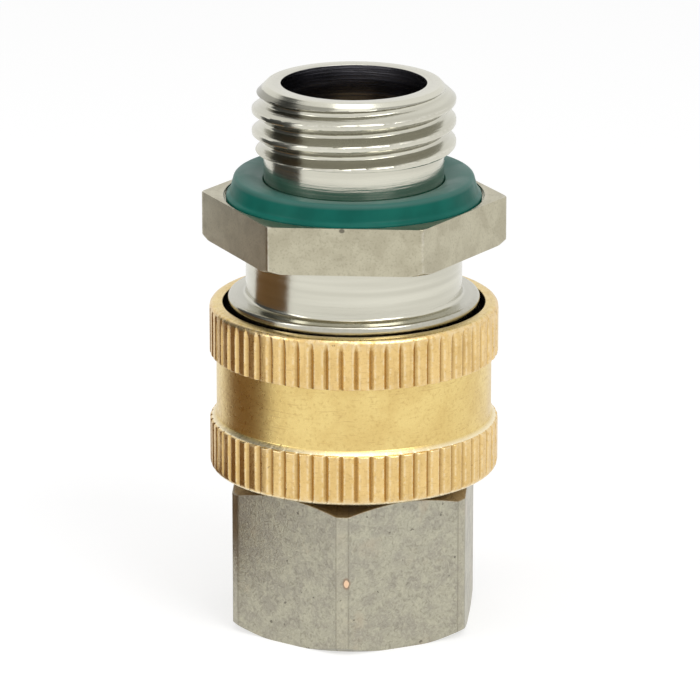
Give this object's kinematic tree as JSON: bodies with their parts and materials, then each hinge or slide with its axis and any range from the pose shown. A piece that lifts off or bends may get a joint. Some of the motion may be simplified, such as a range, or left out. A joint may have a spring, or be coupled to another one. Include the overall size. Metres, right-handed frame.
{
  "type": "liquid cooling quick coupling",
  "caption": "Screw-to-connect liquid quick coupling: nickel-plated plug and hex socket joined by a fluted brass sleeve, with a green profile seal and shut-off valves",
  "frame": {"origin": "centre of the socket's bottom face, on the flow axis", "axes": "+Z along the flow axis, from the socket's hex end to the plug's stud; -Y towards a corner of the lower hex"},
  "size_m": [0.0208, 0.0198, 0.0379],
  "materials": {
    "nickel_blotched": "matt nickel plate, blotched and finely pitted",
    "nickel_turned": "turned nickel plate",
    "nickel_plug": "turned and milled nickel plate, light wear",
    "sleeve_brass": "bare satin brass",
    "valve_brass": "turned brass",
    "spring_steel": "drawn wire",
    "green_rubber": "satin moulded",
    "black_rubber": "satin moulded",
    "white_ptfe": "machined",
    "ivory_plastic": "punched"
  },
  "bodies": {
    "socket": {"socket_adapter": "nickel_blotched", "adapter_seal": "black_rubber", "socket_body": "nickel_turned", "socket_guide_ring": "spring_steel", "socket_guide": "valve_brass", "socket_spring": "spring_steel", "backup_ring": "white_ptfe", "interface_seal": "green_rubber", "sleeve_snap_ring": "spring_steel", "sleeve_washer": "ivory_plastic"},
    "sleeve": {"coupling_sleeve": "sleeve_brass"},
    "plug": {"plug_body": "nickel_plug", "port_seal": "green_rubber", "plug_guide": "valve_brass", "plug_guide_ring": "spring_steel", "plug_spring": "spring_steel"},
    "socket_valve": {"socket_valve_stem": "valve_brass", "socket_valve_seal": "green_rubber", "socket_valve_nose": "nickel_turned"},
    "plug_valve": {"plug_valve_stem": "valve_brass", "plug_valve_seal": "green_rubber", "plug_valve_nose": "nickel_turned"}
  },
  "joints": [
    {"name": "sleeve_turn", "type": "hinge", "parent": "socket", "child": "sleeve", "pos_m": [0, 0, 0.0167], "axis": [0, 0, -1], "range_deg": [0, 340]},
    {"name": "plug_slide", "type": "slide", "parent": "socket", "child": "plug", "axis": [0, 0, 1], "range_m": [0, 0.00425]},
    {"name": "socket_valve_slide", "type": "slide", "parent": "socket", "child": "socket_valve", "axis": [0, 0, 1], "range_m": [0, 0.00213], "deforming": ["socket_spring"]},
    {"name": "plug_valve_slide", "type": "slide", "parent": "plug", "child": "plug_valve", "axis": [0, 0, -1], "range_m": [0, 0.00213], "deforming": ["plug_spring"]}
  ],
  "couplings": [
    {"joint": "plug_slide", "follows": "sleeve_turn", "m_per_rad": 0.0007162},
    {"joint": "socket_valve_slide", "follows": "sleeve_turn", "m_per_rad": 0.0003581},
    {"joint": "plug_valve_slide", "follows": "sleeve_turn", "m_per_rad": 0.0003581}
  ]
}
